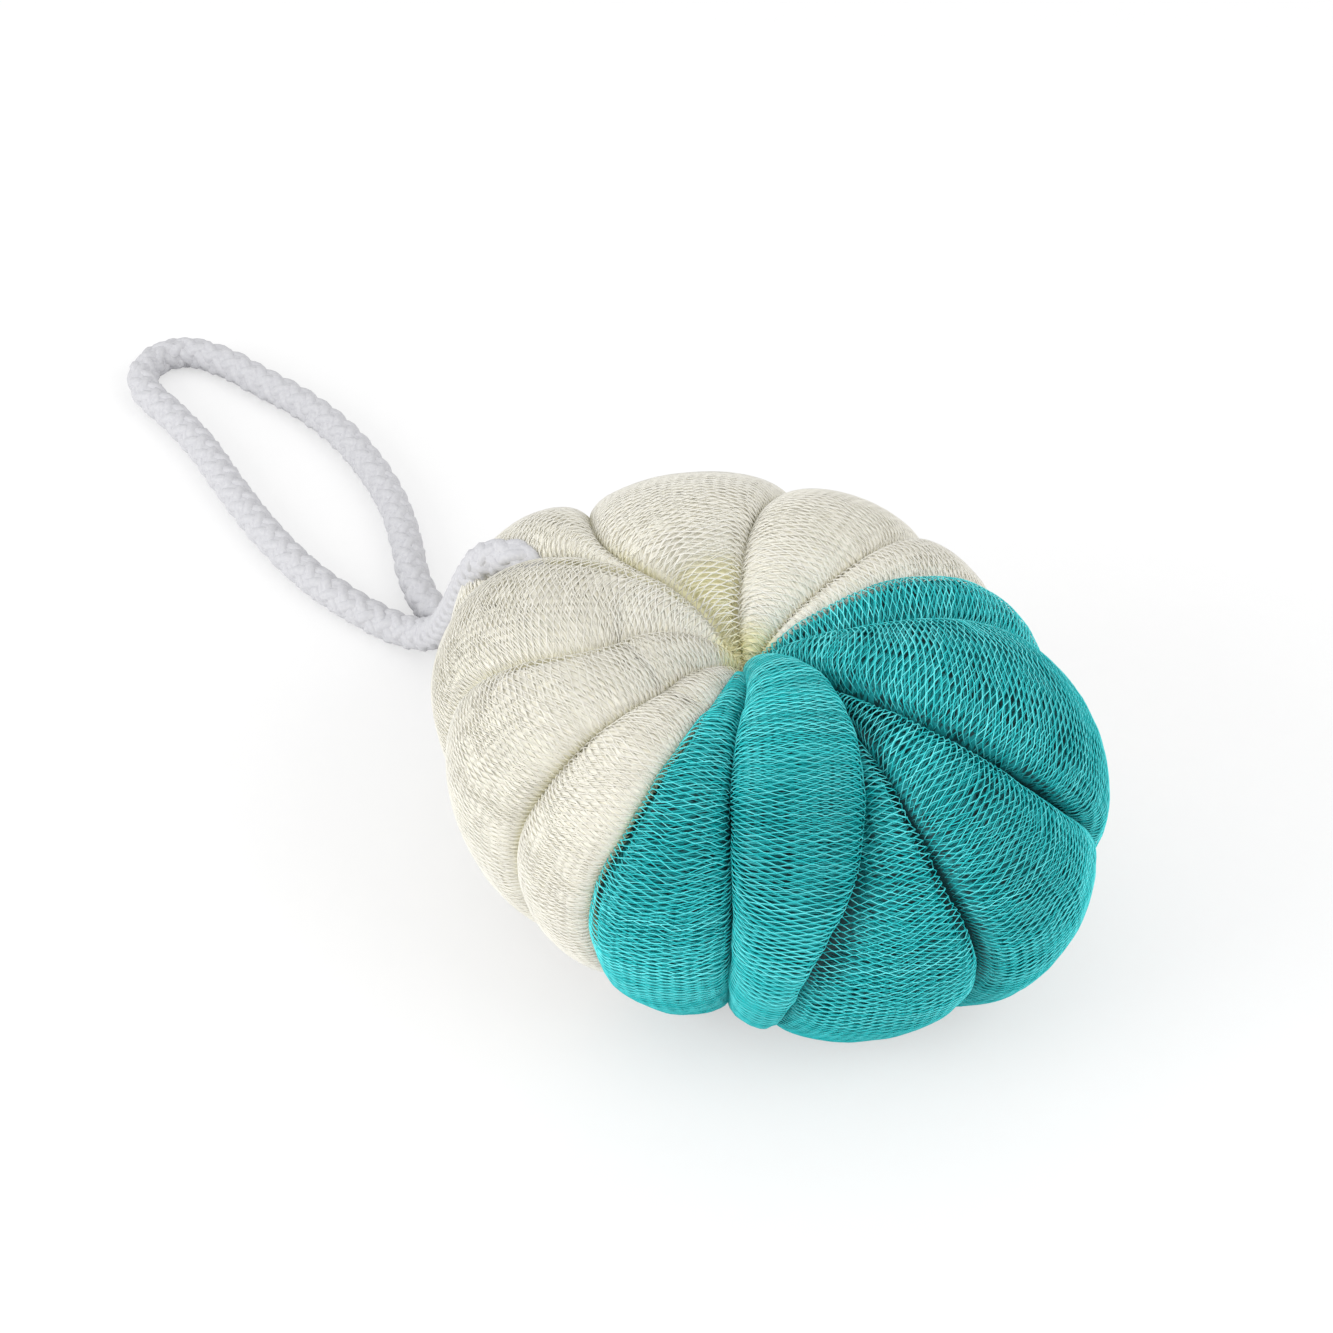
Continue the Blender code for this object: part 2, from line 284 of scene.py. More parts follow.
# %% Sizes of the puff
PUFF_RADIUS = 0.060
PUFF_HEIGHT = 0.070
LOBE_CENTRE_RADIUS = 0.024
HUB_RADIUS = 0.0025
DIMPLE_DEPTH = 0.0065
HUB_PLACE = (-0.0038, -0.0028)
RIM_PLACE = (0.0002, -0.0048)
RISE_TOP = 0.0125
RISE_RIM = 0.0095
RISE_HALF_WIDTH = 0.0065
CREASE_TOP = 0.0085
CREASE_RIM = 0.0062
FLAT_SPOT = 0.0030

CREASE_PLACES = (0.0, 0.1, 0.2, 0.3, 0.4, 0.5, 0.65, 1.0)
PETALS = (
    ("right_back", "cream", (24, 24.5, 26.5, 28, 28, 26.5, 25, 24),
     -0.0055, 0.0004, 1.05, 0.3, 0.3),
    ("back_right", "cream", (44, 41.5, 44.5, 49, 51, 52, 52.5, 53),
     -0.0024, 0.0000, 0.96, 0.1, 0.4),
    ("back", "cream", (100, 93, 87.5, 83, 81, 80, 81.5, 84),
     0.0002, 0.0015, 0.96, 0.0, 0.5),
    ("behind_rope", "cream", (128, 134, 138, 128, 121, 119, 118, 117),
     0.0092, 0.0000, 1.38, 0.45, 0.0),
    ("left", "cream", (138, 140, 145, 147.5, 149.5, 151.5, 152, 152),
     0.0066, 0.0000, 0.96, 0.0, 0.2),
    ("left_front", "cream", (165, 184.5, 197, 191.5, 184.5, 180.5, 179, 180),
     -0.0026, 0.0078, 1.04, 0.0, 0.2),
    ("front_cream", "cream", (225, 227.5, 229, 224.5, 219.5, 214.5, 211, 210),
     -0.0057, 0.0088, 0.88, -0.3, 0.1),
    ("front_left", "teal", (252, 253, 249.5, 245.5, 241, 236, 233.5, 236),
     -0.0040, 0.0100, 0.95, -0.45, 0.2),
    ("front_spindle", "teal", (271, 270, 265.5, 263.5, 264, 264.3, 263.8, 264.5),
     -0.0075, 0.0060, 1.24, 0.0, 0.9),
    ("front_right", "teal", (318, 312, 302, 294, 286.5, 278.5, 274, 274),
     -0.0043, 0.0010, 0.88, 0.4, 0.0),
    ("right_front", "teal", (320, 314, 304.5, 302, 303, 307, 311, 311),
     0.0025, 0.0010, 1.14, -0.35, 0.0),
    ("right_wide", "teal", (322, 315.5, 317, 324, 331.5, 341, 347, 349),
     0.0029, 0.0030, 1.13, -0.5, 0.45),
    ("tucked", "teal", (352, 358.5, 364, 368.5, 371, 372, 372, 371.5),
     -0.0045, 0.0036, 1.12, 0.3, 0.0),
)
print(len(PETALS), "petals,", sum(petal[1] == "cream" for petal in PETALS), "of them cream")

# %% [markdown]
# ## Smooth lines through a few values
# The rows give only a few values for each crease, as one would mark them on the puff with pins. A smooth
# curve through the pins gives the rest. Short straight pieces would show as corners in the folds.

# %% Smooth lines through a few values


def smooth_curve(places, values, wanted):
    """Reads a smooth curve through values, one row to a place, at the wanted places."""
    places = np.asarray(places, float)
    values = np.asarray(values, float).reshape(len(places), -1)
    slopes = np.gradient(values, places, axis=0)
    span = np.clip(np.searchsorted(places, wanted, side="right") - 1, 0, len(places) - 2)
    width = (places[span + 1] - places[span])[:, None]
    share = (np.asarray(wanted)[:, None] - places[span][:, None]) / width
    start = (1 + 2 * share) * (1 - share) ** 2 * values[span]
    start += share * (1 - share) ** 2 * width * slopes[span]
    end = share**2 * (3 - 2 * share) * values[span + 1]
    end += share**2 * (share - 1) * width * slopes[span + 1]
    return start + end


print("half way from 0 to 2 through 1:", smooth_curve((0, 1, 2), (0, 1, 2), [0.5]).round(3))

# %% [markdown]
# ## From rows to surfaces
# A petal's surface is worked out point by point. Two shares tell where a point is: its place, from 0 at
# the top hub to 1 at the bottom hub, and its step, from 0 in one crease to 1 in the next. The same points
# serve the skin and the nets, so these can't come apart.

# %% The oval ring that the petals stand on
TANGENT_STEP = 1e-4


def crease_section(place, reach, lift):
    """Radius and height on the crease line, at a share of the way from the top hub to the bottom hub."""
    middle = PUFF_HEIGHT / 2 - FLAT_SPOT / 2
    half_height = PUFF_HEIGHT / 2 + FLAT_SPOT / 2 - CREASE_TOP
    hub_angle = math.pi - math.asin(1 - DIMPLE_DEPTH / half_height)
    outer = PUFF_RADIUS + reach - CREASE_RIM - LOBE_CENTRE_RADIUS
    inner = (LOBE_CENTRE_RADIUS - HUB_RADIUS) / -math.cos(hub_angle)
    angle = hub_angle * (1 - 2 * place)
    across = np.cos(angle)
    radius = LOBE_CENTRE_RADIUS + np.where(across > 0, outer, inner) * across
    return radius, middle + half_height * np.sin(angle) + lift * np.maximum(across, 0)


def outward_normal(place, reach, lift):
    radius_before, height_before = crease_section(place - TANGENT_STEP, reach, lift)
    radius_after, height_after = crease_section(place + TANGENT_STEP, reach, lift)
    along = np.hypot(radius_after - radius_before, height_after - height_before)
    return -(height_after - height_before) / along, (radius_after - radius_before) / along


def petal_surface(index, places, steps, thinner=0.0, rounding=1.0):
    """Points on a petal: a row for each place from hub to hub, a column for each step across."""
    name, colour, creases, reach, lift, fullness, lean, steepness = PETALS[index]
    turned = 2 * math.pi if index == len(PETALS) - 1 else 0.0
    following = PETALS[(index + 1) % len(PETALS)]
    start = np.radians(smooth_curve(CREASE_PLACES, creases, places))
    end = np.radians(smooth_curve(CREASE_PLACES, following[2], places)) + turned
    turn = math.pi * np.asarray(steps)[None, :]
    even = (1 - np.cos(turn)) / 2
    across = even + even * (1 - even) * (lean + steepness * (2 * even - 1))
    place = np.asarray(places)[:, None]
    reach_here = reach + (following[3] - reach) * even
    lift_here = lift + (following[4] - lift) * even
    radius, height = crease_section(place, reach_here, lift_here)
    normal_radius, normal_height = outward_normal(place, reach_here, lift_here)
    half_width = radius * (end - start) / 2
    rise = RISE_TOP * normal_height**2 + RISE_RIM * normal_radius**2
    rise = fullness * rise * half_width / (half_width + RISE_HALF_WIDTH) - thinner
    rise = np.maximum(rise, 0) * np.sin(turn) ** rounding
    r = radius + rise * normal_radius
    z = np.maximum(height + rise * normal_height, thinner)
    azimuth = start + across * (end - start)
    share = np.clip((r / PUFF_RADIUS) ** 2, 0, 1)
    x = HUB_PLACE[0] + (RIM_PLACE[0] - HUB_PLACE[0]) * share + r * np.cos(azimuth)
    y = HUB_PLACE[1] + (RIM_PLACE[1] - HUB_PLACE[1]) * share + r * np.sin(azimuth)
    return np.stack([x, y, z], -1)


test = petal_surface(0, np.linspace(0, 1, 5), [0.0, 0.5, 1.0])
print("crest of", PETALS[0][0], "in mm:", (test[:, 1] / MM).round(1).tolist())

# %% [markdown]
# ## The deeper layers of the netting
# Under the strands that one can count lie many more layers, too deep to see one by one. They are one
# skin for each colour, a little inside the outer layer, with a finish that looks like crossed strands in
# shadow. Modelling every layer would cost millions of faces and wouldn't show.

# %% Meshes from grids of points
BODY_DEPTHS = {"cream": 0.00005, "teal": 0.0011}
BODY_ROUNDING = {"cream": 0.72, "teal": 1.15}
NET_ROUNDING = {"cream": 0.72, "teal": 1.0}
HUB_OVERRUN = 0.02
BODY_ROWS = 110
BODY_COLUMNS = 30


def grid_mesh(name, grids, maps):
    """One mesh from grids of points, each with its flat map, whose faces point outwards."""
    corners, faces, flat = [], [], []
    for points, chart in zip(grids, maps):
        rows, columns = points.shape[:2]
        index = np.arange(rows * columns).reshape(rows, columns) + sum(len(c) for c in corners)
        corners.append(points.reshape(-1, 3))
        flat.append(chart.reshape(-1, 2))
        around = (index[:-1, :-1], index[1:, :-1], index[1:, 1:], index[:-1, 1:])
        faces.append(np.stack(around, -1).reshape(-1, 4))
    mesh = bpy.data.meshes.new(name)
    mesh.from_pydata(np.concatenate(corners).tolist(), [], np.concatenate(faces).tolist())
    chart = mesh.uv_layers.new(name="OFBake")
    order = np.empty(len(mesh.loops), int)
    mesh.loops.foreach_get("vertex_index", order)
    chart.data.foreach_set("uv", np.concatenate(flat)[order].ravel())
    mesh.shade_smooth()
    return mesh


def flat_map(points):
    """Lengths along the crest and to the sides of it, for each point, in metres."""
    middle = points.shape[1] // 2
    crest = points[:, middle]
    along = np.concatenate([[0], np.cumsum(np.linalg.norm(np.diff(crest, axis=0), axis=1))])
    across = np.cumsum(np.linalg.norm(np.diff(points, axis=1), axis=2), axis=1)
    across = np.concatenate([np.zeros((len(points), 1)), across], 1)
    across -= across[:, middle : middle + 1]
    return np.broadcast_to(along[:, None], across.shape), across


def add_piece(name, mesh):
    piece = bpy.data.objects.new(name, mesh)
    bpy.context.scene.collection.objects.link(piece)
    return piece


print("body grid of a petal:", BODY_ROWS, "by", BODY_COLUMNS)

# %% [markdown]
# ## Loose and dark places
# In places the outermost layer of netting stands off those below it, and one looks through it into
# shade, which is painted on the layers below. Beside some creases all the layers sink away and are painted
# dark as shade. Both tables list patches of a petal: the step at a patch's middle, how far it reaches to
# the sides, and the places where it starts and ends. The patches only move layers that are made anyway
# and paint shade on them, so they cost no faces.

# %% Where the outer layer stands loose, and where all layers sink
SLACK_DEPTH = 0.0026
SLACK_PLACES = {
    "front_left": ((0.12, 0.20, 0.10, 0.60),),
    "front_right": ((0.90, 0.25, 0.04, 0.50), (0.5, 0.8, 0.02, 0.14)),
    "right_front": ((0.5, 0.9, 0.02, 0.24),),
    "right_wide": ((0.88, 0.20, 0.06, 0.45),),
    "tucked": ((0.85, 0.30, 0.06, 0.50),),
    "left": ((0.15, 0.22, 0.08, 0.40),),
    "left_front": ((0.10, 0.20, 0.05, 0.30),),
    "back": ((0.5, 0.9, 0.02, 0.14),),
}
DARK_DEPTH = 0.0018
DARK_PLACES = {
    "front_right": ((0.0, 0.42, 0.36, 0.56), (0.20, 0.08, 0.05, 0.36), (1.0, 0.22, 0.30, 0.60)),
    "right_front": ((0.0, 0.26, 0.08, 0.60), (1.0, 0.24, 0.12, 0.48)),
    "right_wide": ((0.0, 0.24, 0.10, 0.42),),
    "front_left": ((1.0, 0.18, 0.12, 0.62),),
    "front_spindle": ((0.0, 0.12, 0.12, 0.62),),
}
# How strongly the loose patches are painted with crease shading.
LOOSE_SHADE = 0.85
PATCH_EDGE = 1.5
PATCH_START, PATCH_END = 0.05, 0.08
# How far the painted crease shading reaches down from the top hub.
HUB_SHADING_REACH = {"cream": 0.10, "teal": 0.01}


def smooth_step(value):
    value = np.clip(value, 0, 1)
    return value**2 * (3 - 2 * value)


def patches(table, index, places, steps):
    """From 0 to 1 where a table has patches: each has a step, its reach, and its first and last place."""
    place = np.asarray(places)[:, None]
    step = np.asarray(steps)[None, :]
    found = np.zeros((place.size, step.size))
    for middle, reach, first, last in table.get(PETALS[index][0], ()):
        over_steps = smooth_step(PATCH_EDGE - PATCH_EDGE * np.abs(step - middle) / reach)
        along = smooth_step((place - first) / PATCH_START + 0.5)
        along = along * smooth_step((last - place) / PATCH_END + 0.5)
        found = np.maximum(found, over_steps * along)
    return found


def crease_shading_share(colour, places, steps):
    """How much crease shading is painted: 0 on the crest of a petal, 1 in its two creases and at the top
    hub.
    """
    crease = 1 - np.sin(math.pi * np.asarray(steps))[None, :]
    hub = 1 - smooth_step(np.asarray(places)[:, None] / HUB_SHADING_REACH[colour])
    return np.maximum(crease, hub)


print("petals with loose netting:", len(SLACK_PLACES))

# %% The two inner skins
places = np.linspace(-HUB_OVERRUN, 1 + HUB_OVERRUN, BODY_ROWS + 1)
steps = np.linspace(0, 1, BODY_COLUMNS + 1)
inner_skins = {}
for colour in ("cream", "teal"):
    grids, maps, spreads = [], [], []
    ours = [k for k, petal in enumerate(PETALS) if petal[1] == colour]
    for order, k in enumerate(ours):
        loose, dark = patches(SLACK_PLACES, k, places, steps), patches(DARK_PLACES, k, places, steps)
        depth = BODY_DEPTHS[colour] + SLACK_DEPTH * loose + DARK_DEPTH * dark
        points = petal_surface(k, places, steps, depth, BODY_ROUNDING[colour])
        along, across = flat_map(points)
        left = (order + (across - across.min()) / (across.max() - across.min())) / len(ours)
        grids.append(points)
        maps.append(np.stack([left, along / along.max()], -1))
        # Where crease shading is painted: the creases, the top hub, the sunk patches and, a little less, the
        # loose ones.
        fold = np.maximum(np.maximum(crease_shading_share(colour, places, steps), dark), loose * LOOSE_SHADE)
        spreads.append(np.stack([along, across, fold], -1).reshape(-1, 3))
    name = colour + "_inner_netting"
    inner_skins[colour] = add_piece(name, grid_mesh(name, grids, maps))
    kept = inner_skins[colour].data.attributes.new("spread", "FLOAT_VECTOR", "POINT")
    kept.data.foreach_set("vector", np.concatenate(spreads).ravel())
    print(colour, "inner skin:", len(inner_skins[colour].data.polygons), "faces")

# %% [markdown]
# ## Finish of the netting
# The plastic is slightly glossy and lets some light through. Each strand differs a little in shade at
# random, and in the teal netting the brightest strands also stand in for highlights, which are painted. In
# the teal netting the deeper strands and the creases are painted darker, as shade. In the cream netting
# light goes through many layers and picks up their tint; this is painted too, so the deeper strands are a
# little brighter and the creases yellow. Towards the table both take on the colour of their deeper strands,
# which in the teal is painted shade. The mesh keeps three numbers for each point, which the finish reads:
# the strand's own shade, its layer and how deep in a fold it is, which sets the painted crease shading.

# %% Colours
# The deep and the crease teal are painted shade of the deeper layers and the creases, and the bright teal is
# partly a painted highlight. The deep and the crease cream are painted light that went through many layers.
TEAL_TONE_AND_HIGHLIGHT = (0.17, 0.93, 0.95, 1)
TEAL_PLAIN = (0.026, 0.64, 0.66, 1)
TEAL_DEEP_SHADE = (0.008, 0.43, 0.45, 1)
TEAL_CREASE_SHADE = (0.002, 0.12, 0.13, 1)
CREAM_BRIGHT = (0.88, 0.86, 0.795, 1)
CREAM_PLAIN = (0.855, 0.835, 0.75, 1)
CREAM_DEEP = (0.89, 0.865, 0.77, 1)
CREAM_CREASE_LIGHT = (0.93, 0.89, 0.60, 1)
STRAND_CLOUDS, STRAND_GLOSS_SPOTS, SKIN_CLOUDS = 90.0, 400.0, 60.0
OWN_SHARE, CLOUD_SHARE = 0.9, 0.5
LIGHT_FROM, LIGHT_TO = 0.25, 1.25
DEEPEST_LAYER = 1.6
LOW_FROM, LOW_TO = 0.004, 0.034
STRAND_FOLD_FROM, STRAND_FOLD_TO = 0.50, 1.0
SMOOTHEST, ROUGHER_BY = 0.26, 0.16

# %% The finish of the strands


def strand_finish(name, fold, deep, plain, bright, low_share):
    """Strands of one colour: bright above, and deeper below, near the table and in the folds, as painted
    light and shade.
    """
    finish, draw, shader = new_finish(name)
    place = draw.own_place()
    own, layer, crease_shading_mask = (draw.own_value(kept) for kept in ("shade", "layer", "fold"))
    cloud = draw.noise(place, STRAND_CLOUDS)
    # Each strand's random tone; in the teal the brightest strands also stand in for painted highlights.
    light = draw.band(own * OWN_SHARE + cloud * CLOUD_SHARE, LIGHT_FROM, LIGHT_TO)
    # Deeper layers take the deep colour: painted shade in the teal, painted light through the layers in the
    # cream.
    colour = draw.between(draw.band(layer, 0.0, DEEPEST_LAYER), draw.between(light, plain, bright), deep)
    # Towards the table the colour goes to the deep one too, which in the teal is painted shade.
    low = (1 - draw.band(place.part(2), LOW_FROM, LOW_TO)) * low_share
    colour = draw.between(low, colour, deep)
    # Painted crease shading: dark shade in the teal creases, yellow light through the layers in the cream
    # ones.
    creased = draw.band(crease_shading_mask, STRAND_FOLD_FROM, STRAND_FOLD_TO)
    draw.feed(shader.inputs["Base Color"], draw.between(creased, colour, fold))
    draw.feed(shader.inputs["Roughness"], SMOOTHEST + ROUGHER_BY * draw.noise(place, STRAND_GLOSS_SPOTS))
    shader.inputs["Specular IOR Level"].default_value = 0.35
    return finish


strand_finishes = {
    "teal": strand_finish("teal_strands", TEAL_CREASE_SHADE, TEAL_DEEP_SHADE, TEAL_PLAIN, TEAL_TONE_AND_HIGHLIGHT, 0.75),
    "cream": strand_finish("cream_strands", CREAM_CREASE_LIGHT, CREAM_DEEP, CREAM_PLAIN, CREAM_BRIGHT, 0.5),
}
print("finishes:", [finish.name for finish in strand_finishes.values()])

# %% The finish of the inner skins
SLITS_ALONG, SLITS_ACROSS = 1300.0, 330.0
SLIT_SHARE, SKIN_CLOUD_SHARE = 0.8, 0.2
SLIT_EDGE = 0.06
SKIN_FOLD_FROM, SKIN_FOLD_TO = 0.45, 0.95
# Each skin's crease, slit and plain tone and its share of slits. The teal tones are painted shade of the
# deeper layers, nearly black in the creases and slits; the cream's yellow crease tone is painted light
# through the layers.
SKIN_TONES = {
    "teal": ((0.001, 0.04, 0.045, 1), (0.001, 0.05, 0.055, 1), (0.010, 0.34, 0.36, 1), 0.48),
    "cream": ((0.93, 0.89, 0.58, 1), (0.90, 0.87, 0.745, 1), (0.92, 0.90, 0.81, 1), 0.42),
}


def skin_finish(name, fold, deep, plain, slit_share):
    """Rows of crossed strands in shadow, drawn on the skin's own map: mostly plain, with dark slits."""
    finish, draw, shader = new_finish(name)
    spot = draw.own_value("spread", "Vector")
    along, across, crease_shading_mask = spot.part(0), spot.part(1), spot.part(2)
    slits = draw.noise(draw.joined(along * SLITS_ALONG, across * SLITS_ACROSS, 1.0), 1.0, 1.0)
    cloud = draw.noise(draw.own_place(), SKIN_CLOUDS)
    seen = slits * SLIT_SHARE + cloud * SKIN_CLOUD_SHARE
    mask = draw.band(seen, slit_share - SLIT_EDGE, slit_share + SLIT_EDGE)
    # Painted crease shading on the skin: nearly black in the teal, yellow light through the layers in the
    # cream.
    creased = draw.band(crease_shading_mask, SKIN_FOLD_FROM, SKIN_FOLD_TO)
    draw.feed(shader.inputs["Base Color"], draw.between(creased, draw.between(mask, deep, plain), fold))
    shader.inputs["Roughness"].default_value = 0.6
    draw.feed(shader.inputs["Normal"], draw.bump(slits, 0.5, 0.0005))
    return finish


for colour, tones in SKIN_TONES.items():
    inner_skins[colour].data.materials.append(skin_finish(colour + "_shadow", *tones))
print("shades under the nets:", [skin.active_material.name for skin in inner_skins.values()])

# %% [markdown]
# ## The net as Geometry Nodes
# Netting of this kind is a sheet of thin plastic strands that touch their neighbours in turn, left, right,
# left, right, which leaves diamond gaps. Knotting it by hand would take a maker days and a mesh of it as a
# texture would look flat at the edges of the petals. The tree starts from straight lines, side by side.
# Each second point of a line moves towards one neighbour and the others towards the other. Then every
# point is looked up on the petal, like a pattern laid on a curved form, and pushed in by the depth of its
# layer, and each line becomes a thin three-sided strand. Two or three layers lie over each other, shifted
# and stretched a little, so that the gaps of one show the strands of the next, as in the real puff.

# %% Small steps that every tree here uses


def named_inputs(tree, wanted):
    for label, kind, value in wanted:
        socket = tree.interface.new_socket(label, in_out="INPUT", socket_type=kind)
        if value is not None:
            socket.default_value = value
    tree.interface.new_socket("Geometry", in_out="OUTPUT", socket_type="NodeSocketGeometry")


def input_wires(tree):
    enter = tree.nodes.new("NodeGroupInput")
    return {socket.name: Wire(tree, socket) for socket in enter.outputs if socket.name}


def attribute(draw, name):
    return draw.node("GeometryNodeInputNamedAttribute", {"data_type": "FLOAT_VECTOR"}, {"Name": name})


def stored(draw, geometry, name, value, kind="FLOAT", domain="POINT"):
    """Keeps a value on each point or corner, for later nodes and for the finish."""
    settings = {"data_type": kind, "domain": domain}
    inputs = {"Geometry": geometry, "Name": name, "Value": value}
    return draw.node("GeometryNodeStoreNamedAttribute", settings, inputs)


def copied_line(draw, copies, places, start, end, points):
    """Copies of one straight line, each at its own place, with a number of points along it."""
    starts = draw.node("GeometryNodePoints", None, {0: copies, 1: places})
    line = draw.node("GeometryNodeCurvePrimitiveLine", None, {"Start": start, "End": end})
    line = draw.node("GeometryNodeResampleCurve", None, {"Curve": line, "Count": points})
    lines = draw.node("GeometryNodeInstanceOnPoints", None, {"Points": starts, "Instance": line})
    return draw.node("GeometryNodeRealizeInstances", None, {0: lines})


def tube(draw, path, sides, radius, closed=True):
    """A line with a round section, and with its ends closed or open."""
    inputs = {"Resolution": sides, "Radius": radius}
    ring = draw.node("GeometryNodeCurvePrimitiveCircle", {"mode": "RADIUS"}, inputs)
    inputs = {"Curve": path, "Profile Curve": ring, "Fill Caps": closed}
    return draw.node("GeometryNodeCurveToMesh", None, inputs)


def finish_tree(tree, draw, join, material):
    """Joins what was made, makes it real, gives it its material and hands it out."""
    whole = draw.node("GeometryNodeRealizeInstances", None, {0: Wire(tree, join.outputs[0])})
    whole = draw.node("GeometryNodeSetMaterial", None, {"Geometry": whole, "Material": material})
    leave = tree.nodes.new("NodeGroupOutput")
    tree.links.new(whole.socket, leave.inputs[0])


print("steps for trees:", [step.__name__ for step in (attribute, stored, copied_line, tube, finish_tree)])

# %% The netting tree's inputs
NET_INPUTS = (
    ("Geometry", "NodeSocketGeometry", None),
    ("Length", "NodeSocketFloat", 0.16),
    ("Width", "NodeSocketFloat", 0.06),
    ("Spacing", "NodeSocketFloat", 0.00066),
    ("Half wave", "NodeSocketFloat", 0.0020),
    ("Skew", "NodeSocketFloat", 0.0),
    ("Drift", "NodeSocketFloat", 0.0030),
    ("Layers apart", "NodeSocketFloat", 1.0),
    ("Zigzag", "NodeSocketFloat", 0.47),
    ("Unevenness", "NodeSocketFloat", 0.0010),
    ("Strand radius", "NodeSocketFloat", 0.00011),
    ("Seed", "NodeSocketFloat", 0.0),
    ("Material", "NodeSocketMaterial", None),
)
print("inputs of the netting tree:", [label for label, kind, value in NET_INPUTS])

# %% [markdown]
# ## One layer of the net
# A layer has its number, its depth under the petal's surface, where a minus lifts it above, its shift
# against the first layer in parts of a spacing, how much wider its gaps are, how thick its strands are and
# how many points it has where two strands touch. The outermost layer has two such points, which gives the
# short joints that one sees between the diamonds. The deeper ones have one, which saves half their faces.
# The input Layers apart says how much of the shift and the stretch a petal uses. At 0 its layers lie in
# step and one sees rows of slits. At 1 each lies as it falls.

# %% A layer's pattern
JOINT_SHARE = 0.3
BENDS_BEFORE = 500
FLOOR_MARGIN = 0.01
DRIFT_SCALE, RIPPLE_SCALE = 110.0, 210.0
RIPPLE_STRETCH = 0.6
RIPPLE_REACH = 0.0012
SEED_APART = 0.6
SHIFT_APART, SHIFT_LEAST, SHIFT_ACROSS = 0.6, 0.4, 1.7


def on_petal(draw, values, field, spot, output=0):
    """Reads a value of the petal's surface at a spot on its flat map."""
    settings = {"data_type": "FLOAT_VECTOR"}
    inputs = {0: values["Geometry"], 1: field, 2: attribute(draw, "OFBake"), 3: spot}
    return draw.node("GeometryNodeSampleUVSurface", settings, inputs, output)


def layer_pattern(draw, values, layer, shift, stretch, points_at_bend):
    """A layer's lines, still straight, with each point's spot on the petal's flat map kept on it."""
    apart = values["Layers apart"]
    stretch = apart * (stretch - 1) + 1
    spacing = values["Spacing"] * stretch
    wave = values["Half wave"] * stretch
    strands = draw.maths("FLOOR", values["Length"] / spacing)
    waves = draw.maths("CEIL", values["Width"] * 0.5 / wave) + 1
    starts = draw.joined(draw.node("GeometryNodeInputIndex") * spacing, 0.0)
    low, high = draw.joined(0.0, waves * wave * -1), draw.joined(0.0, waves * wave)
    lines = copied_line(draw, strands, starts, low, high, waves * (2 * points_at_bend) + 1)
    place = draw.node("GeometryNodeInputPosition")
    along, across = place.part(0), place.part(1)
    strand = draw.maths("ROUND", along / spacing)
    point = draw.maths("ROUND", across / wave * points_at_bend + BENDS_BEFORE * points_at_bend)
    bend = draw.maths("FLOOR", point / points_at_bend + FLOOR_MARGIN)
    member = point - bend * points_at_bend - (points_at_bend - 1) * 0.5
    side = draw.maths("FLOORED_MODULO", strand + bend, 2.0) * 2 - 1
    seed = values["Seed"] + apart * (layer * SEED_APART)
    drift = draw.noise(draw.joined(along, across, seed), DRIFT_SCALE, 1.0) - 0.5
    ripple = draw.noise(draw.joined(along, across * RIPPLE_STRETCH, seed + 3), RIPPLE_SCALE, 1.0) - 0.5
    along = along + side * spacing * values["Zigzag"] + drift * values["Drift"] + across * values["Skew"]
    along = along + spacing * (apart * (shift * SHIFT_APART) + shift * SHIFT_LEAST)
    across = (bend - BENDS_BEFORE + member * JOINT_SHARE) * wave + ripple * RIPPLE_REACH
    across = across + apart * (shift * SHIFT_ACROSS) * wave
    spot = draw.joined(along / values["Length"], across / values["Width"] + 0.5)
    own = draw.node("FunctionNodeRandomValue", {"data_type": "FLOAT"}, {"ID": strand, "Seed": layer + 3}, 1)
    lines = stored(draw, lines, "spot", spot, "FLOAT_VECTOR")
    return stored(draw, lines, "shade", own)


print("a joint takes", JOINT_SHARE, "of a half wave")

# %% A layer laid on the petal
UNEVEN_SCALE = 130.0
SLACK_SHARE = 0.45
DARK_LEAST, DARK_SHARE = 0.5, 0.35
OVER_TABLE = 1.1
STRAND_SIDES = 3


